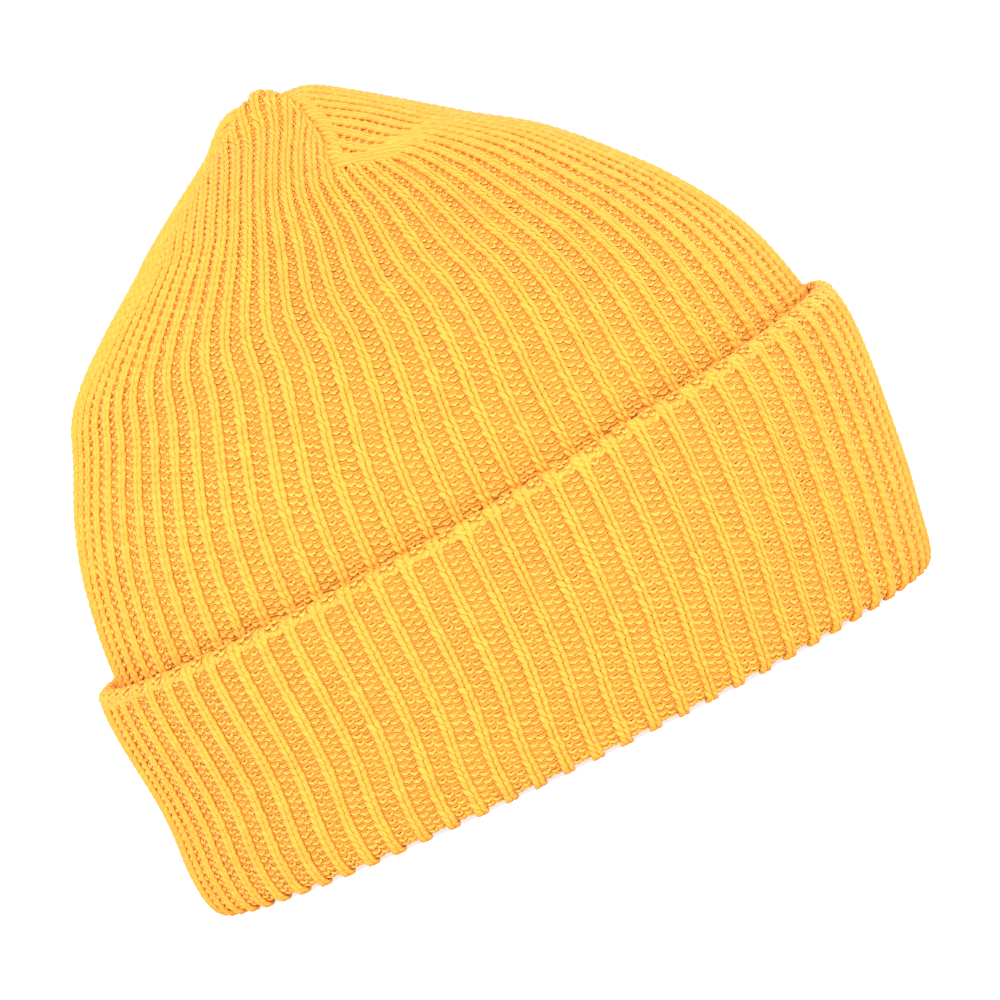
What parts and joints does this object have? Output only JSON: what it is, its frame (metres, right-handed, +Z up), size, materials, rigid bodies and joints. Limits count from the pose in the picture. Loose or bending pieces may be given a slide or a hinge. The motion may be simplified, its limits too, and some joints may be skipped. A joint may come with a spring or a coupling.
{
  "type": "fisherman beanie",
  "caption": "Ribbed knit cap with a tent-shaped crown closed by short seams at the peak and a thick turned-up band.",
  "frame": {"origin": "middle of the hat's box, on the surface that the folded edge rests on", "axes": "+Z up towards the peak, the wearer looks along -Y, and the wearer's right side is at -X"},
  "size_m": [0.1844, 0.2096, 0.1781],
  "materials": {
    "knit_yarn": "matt ribbed knit of a soft yellow-orange yarn"
  },
  "bodies": {
    "root": {"crown": "knit_yarn", "cuff": "knit_yarn"}
  },
  "joints": []
}
